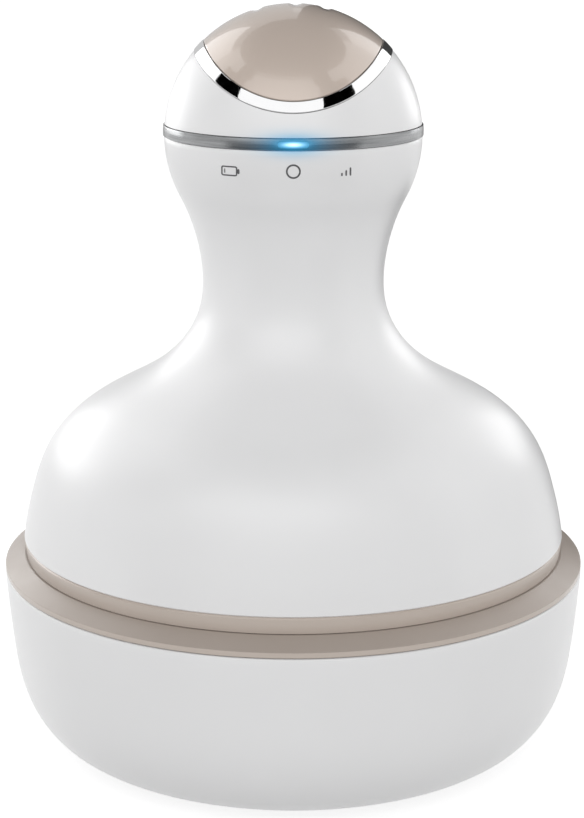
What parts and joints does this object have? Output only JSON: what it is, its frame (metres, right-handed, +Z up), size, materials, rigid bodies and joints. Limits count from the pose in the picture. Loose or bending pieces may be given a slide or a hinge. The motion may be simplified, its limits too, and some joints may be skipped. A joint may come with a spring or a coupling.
{
  "type": "scalp massager brush",
  "caption": "Cordless scalp massager: ball-topped grip with push button and light strip, four gear-driven finger heads under a wide dome, standing in a round cup.",
  "frame": {"origin": "centre of the cup's feet, on the surface the massager stands on", "axes": "+Z up along the grip, -Y towards the front with the lamp and marks, +X to the right seen from the front"},
  "size_m": [0.11, 0.11, 0.1395],
  "materials": {
    "shell_white": "satin white, moulded",
    "band_taupe": "satin warm grey",
    "cap_champagne": "glossy pearl champagne",
    "trim_chrome": "mirror plated",
    "strip_grey": "metallic dark grey",
    "window": "clear blue light guide",
    "rubber_grey": "matte",
    "silicone_white": "soft matte",
    "silicone_taupe": "soft matte",
    "plastic_pale": "fine matte",
    "plastic_grey": "moulded",
    "gear_plastic": "acetal",
    "steel": "plain",
    "brass": "turned",
    "motor_steel": "zinc plated",
    "black_plastic": "moulded",
    "magnet": "ferrite",
    "winding": "enamelled copper",
    "cell_wrap": "shrink sleeve",
    "board_green": "solder mask",
    "lamp": "lamp chip"
  },
  "bodies": {
    "cup": {"cup_bowl": "shell_white", "cup_floor": "shell_white", "cup_rim_ring": "band_taupe", "cup_feet": "rubber_grey"},
    "button": {"button_cap": "cap_champagne", "button_plunger": "plastic_grey", "button_boot": "rubber_grey"},
    "port_flap": {"port_cover": "silicone_white"},
    "rotor": {"motor_shaft": "steel", "motor_armature": "winding", "motor_pinion": "brass"},
    "idler": {"idler_gear": "gear_plastic"},
    "centre": {"centre_gear": "gear_plastic"},
    "head_1": {"head_pad_1": "silicone_taupe", "head_hub_1": "plastic_pale", "head_shaft_1": "steel", "head_gear_1": "gear_plastic"},
    "head_2": {"head_pad_2": "silicone_taupe", "head_hub_2": "plastic_pale", "head_shaft_2": "steel", "head_gear_2": "gear_plastic"},
    "head_3": {"head_pad_3": "silicone_taupe", "head_hub_3": "plastic_pale", "head_shaft_3": "steel", "head_gear_3": "gear_plastic"},
    "head_4": {"head_pad_4": "silicone_taupe", "head_hub_4": "plastic_pale", "head_shaft_4": "steel", "head_gear_4": "gear_plastic"},
    "handset": {"base_band": "band_taupe", "base_gasket": "rubber_grey", "base_plate": "plastic_pale", "base_screws": "steel", "battery_cell": "cell_wrap", "battery_holder": "plastic_grey", "board_screws": "steel", "body_screws": "steel", "body_shell": "shell_white", "button_guide": "plastic_grey", "centre_pin": "steel", "charge_board": "board_green", "charge_socket": "steel", "chrome_trim": "trim_chrome", "control_board": "board_green", "gear_case_cover": "plastic_grey", "gear_case_floor": "plastic_grey", "gear_case_screws": "steel", "idler_pin": "steel", "inner_frame": "plastic_grey", "lamp_chip": "lamp", "light_strip": "strip_grey", "light_window": "window", "motor_can": "motor_steel", "motor_end_cap": "black_plastic", "motor_magnets": "magnet", "motor_screws": "steel", "push_switch": "black_plastic", "shaft_bushes": "brass", "shaft_seals": "rubber_grey", "top_shell": "shell_white"}
  },
  "joints": [
    {"name": "handset_lift", "type": "slide", "parent": "cup", "child": "handset", "axis": [0, 0, 1], "range_m": [0, 0.06]},
    {"name": "button_press", "type": "slide", "parent": "handset", "child": "button", "axis": [0, 0, -1], "range_m": [0, 0.0006], "stiffness_N_per_m": 1500, "springref_m": -0.001, "deforming": ["button_boot"]},
    {"name": "port_flap_hinge", "type": "hinge", "parent": "handset", "child": "port_flap", "pos_m": [0, 0.01955, 0.1036], "axis": [-1, 0, 0], "range_deg": [0, 100]},
    {"name": "motor_spin", "type": "hinge", "parent": "handset", "child": "rotor", "pos_m": [0, 0, 0.06], "axis": [0, 0, 1], "continuous": true},
    {"name": "idler_spin", "type": "hinge", "parent": "handset", "child": "idler", "pos_m": [0, 0.015, 0.048], "axis": [0, 0, 1], "continuous": true},
    {"name": "centre_spin", "type": "hinge", "parent": "handset", "child": "centre", "pos_m": [0, 0, 0.044], "axis": [0, 0, 1], "continuous": true},
    {"name": "head_1_spin", "type": "hinge", "parent": "handset", "child": "head_1", "pos_m": [0.01697, 0.01697, 0.03], "axis": [0, 0, 1], "continuous": true},
    {"name": "head_2_spin", "type": "hinge", "parent": "handset", "child": "head_2", "pos_m": [-0.01697, 0.01697, 0.03], "axis": [0, 0, 1], "continuous": true},
    {"name": "head_3_spin", "type": "hinge", "parent": "handset", "child": "head_3", "pos_m": [-0.01697, -0.01697, 0.03], "axis": [0, 0, 1], "continuous": true},
    {"name": "head_4_spin", "type": "hinge", "parent": "handset", "child": "head_4", "pos_m": [0.01697, -0.01697, 0.03], "axis": [0, 0, 1], "continuous": true}
  ],
  "couplings": [
    {"joint": "idler_spin", "follows": "motor_spin", "ratio": -0.25},
    {"joint": "centre_spin", "follows": "motor_spin", "ratio": 0.0625},
    {"joint": "head_1_spin", "follows": "motor_spin", "ratio": -0.044643},
    {"joint": "head_2_spin", "follows": "motor_spin", "ratio": -0.044643},
    {"joint": "head_3_spin", "follows": "motor_spin", "ratio": -0.044643},
    {"joint": "head_4_spin", "follows": "motor_spin", "ratio": -0.044643}
  ]
}
